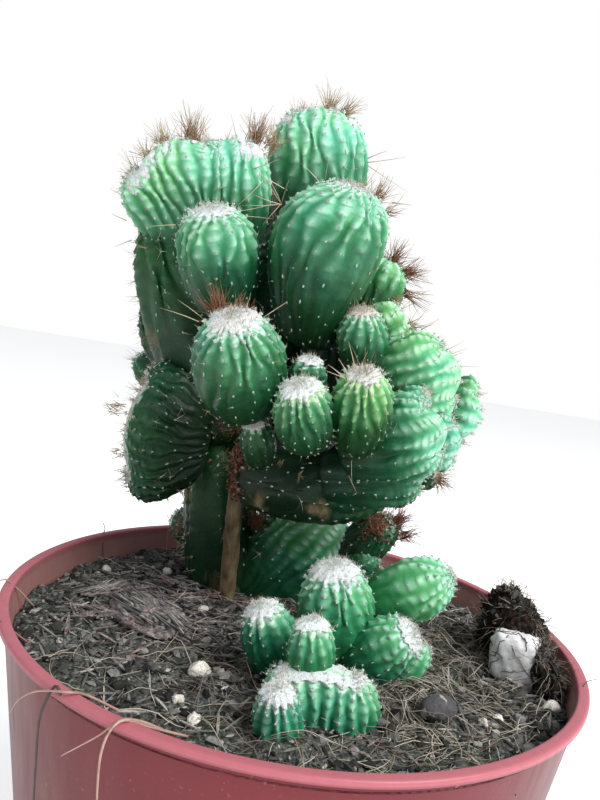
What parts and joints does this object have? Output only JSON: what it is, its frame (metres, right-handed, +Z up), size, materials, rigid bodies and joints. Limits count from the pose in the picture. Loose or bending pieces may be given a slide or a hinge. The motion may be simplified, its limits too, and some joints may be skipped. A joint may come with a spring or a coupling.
{
  "type": "potted monstrose apple cactus",
  "caption": "Monstrose columnar cactus with ribbed heads, crests and offsets, in a tapered pot with soil, bark, perlite and peat.",
  "frame": {"origin": "centre of the pot's foot ring, on the surface that the pot stands on", "axes": "+Z up along the pot's axis; the pictured front faces -Y; +X to the right of the picture"},
  "size_m": [0.15, 0.15, 0.2624],
  "materials": {
    "pot_plastic": "terracotta-red moulded plastic with a satin sheen and fine scuffs",
    "soil": "dark peat-based potting soil with crumbs, dry roots and a green tinge",
    "old_flesh": "waxy green ribbed cactus skin with white areoles, wool and brown spines",
    "young_flesh": "brighter waxy green skin of young offsets with white woolly tips",
    "bark": "weathered grey-brown flaky bark",
    "dark_stone": "matt dark grey lump with a pale flake",
    "pale_stone": "matt off-white stone",
    "peat": "near-black fibrous peat with hair-like rootlets",
    "perlite": "crumbly cream-white expanded mineral grain"
  },
  "bodies": {
    "root": {"pot": "pot_plastic", "soil": "soil", "old_stem": "old_flesh", "offset_clump": "young_flesh", "bark_chip": "bark", "bark_flake": "bark", "dark_stone": "dark_stone", "pale_stone": "pale_stone", "peat_clod": "peat", "perlite_1": "perlite", "perlite_2": "perlite", "perlite_3": "perlite", "perlite_4": "perlite", "perlite_5": "perlite", "perlite_6": "perlite", "perlite_7": "perlite", "perlite_8": "perlite", "perlite_9": "perlite", "perlite_10": "perlite"}
  },
  "joints": []
}
